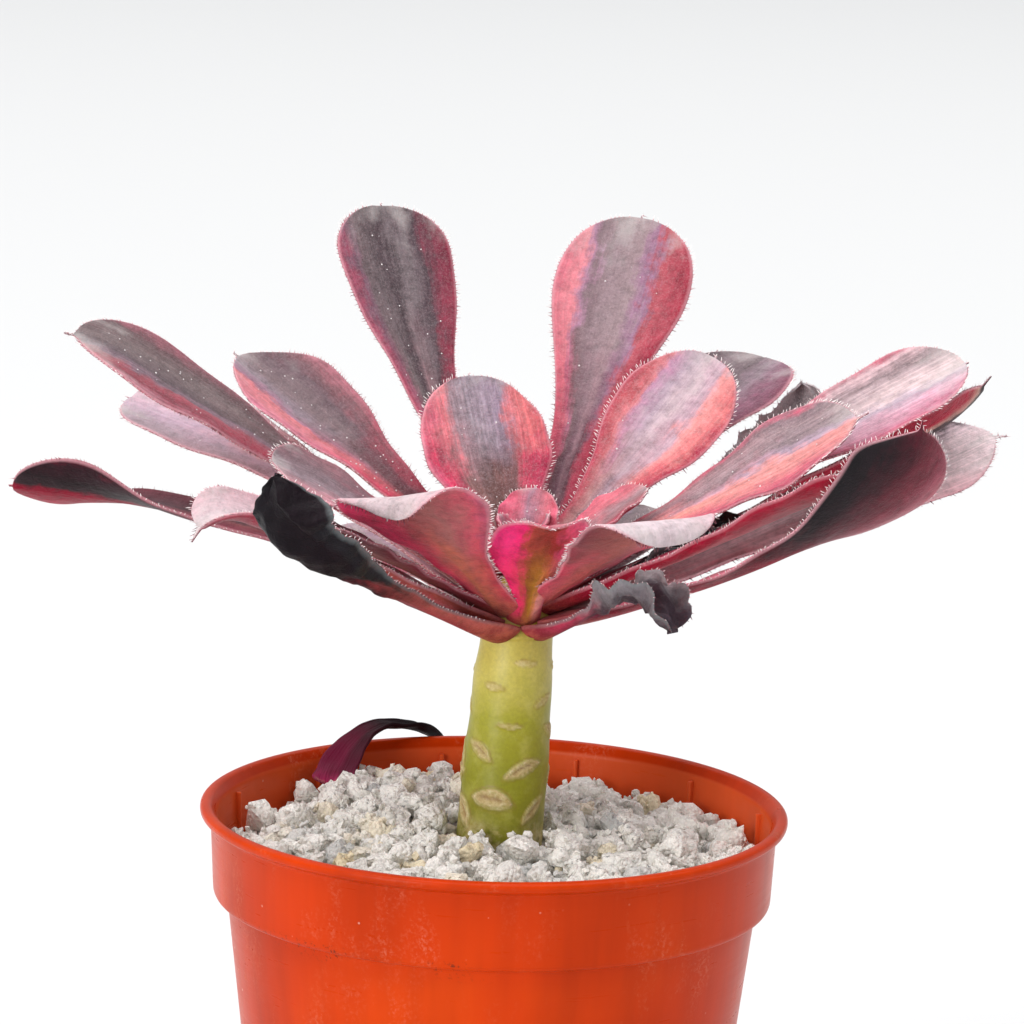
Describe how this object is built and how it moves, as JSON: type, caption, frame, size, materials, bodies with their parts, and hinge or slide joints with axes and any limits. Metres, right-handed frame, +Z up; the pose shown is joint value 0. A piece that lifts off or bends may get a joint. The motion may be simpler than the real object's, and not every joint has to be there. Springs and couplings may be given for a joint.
{
  "type": "potted aeonium",
  "caption": "Tree aeonium with a loose dark rosette on a bare stem, in a tapered plastic nursery pot topped with pumice.",
  "frame": {"origin": "centre of the pot's flat base, on the surface it stands on", "axes": "+Z up the plant, -Y towards the picture's front, +X to the right of it"},
  "size_m": [0.1836, 0.1283, 0.2005],
  "materials": {
    "pot_plastic": "glossy",
    "potting_mix": "rough",
    "pumice": "rough",
    "stem_skin": "satin",
    "leaf": "satin",
    "dried_leaf": "matt",
    "shed_leaf": "satin"
  },
  "bodies": {
    "root": {"dried_leaf_black": "dried_leaf", "dried_leaf_curled": "dried_leaf", "dried_leaf_hanging": "dried_leaf", "dried_leaf_small": "dried_leaf", "fallen_leaf": "shed_leaf", "heart_leaves": "leaf", "leaf_back_left_upright": "leaf", "leaf_back_right_upright": "leaf", "leaf_back_short": "leaf", "leaf_far_left_twisted": "leaf", "leaf_front_left_folded": "leaf", "leaf_front_right_folded": "leaf", "leaf_front_small": "leaf", "leaf_hidden_back": "leaf", "leaf_hidden_back_left": "leaf", "leaf_hidden_back_right": "leaf", "leaf_inner_back": "leaf", "leaf_inner_right": "leaf", "leaf_left_back": "leaf", "leaf_left_front_hooked": "leaf", "leaf_left_front_inner": "leaf", "leaf_left_inner": "leaf", "leaf_left_long": "leaf", "leaf_left_under": "leaf", "leaf_right_back_grey": "leaf", "leaf_right_broad": "leaf", "leaf_right_edgewise": "leaf", "leaf_right_front_inner": "leaf", "leaf_right_front_large": "leaf", "leaf_right_long": "leaf", "leaf_right_low": "leaf", "leaf_right_upper": "leaf", "pot": "pot_plastic", "potting_soil": "potting_mix", "pumice_top_dressing": "pumice", "stem": "stem_skin"}
  },
  "joints": []
}
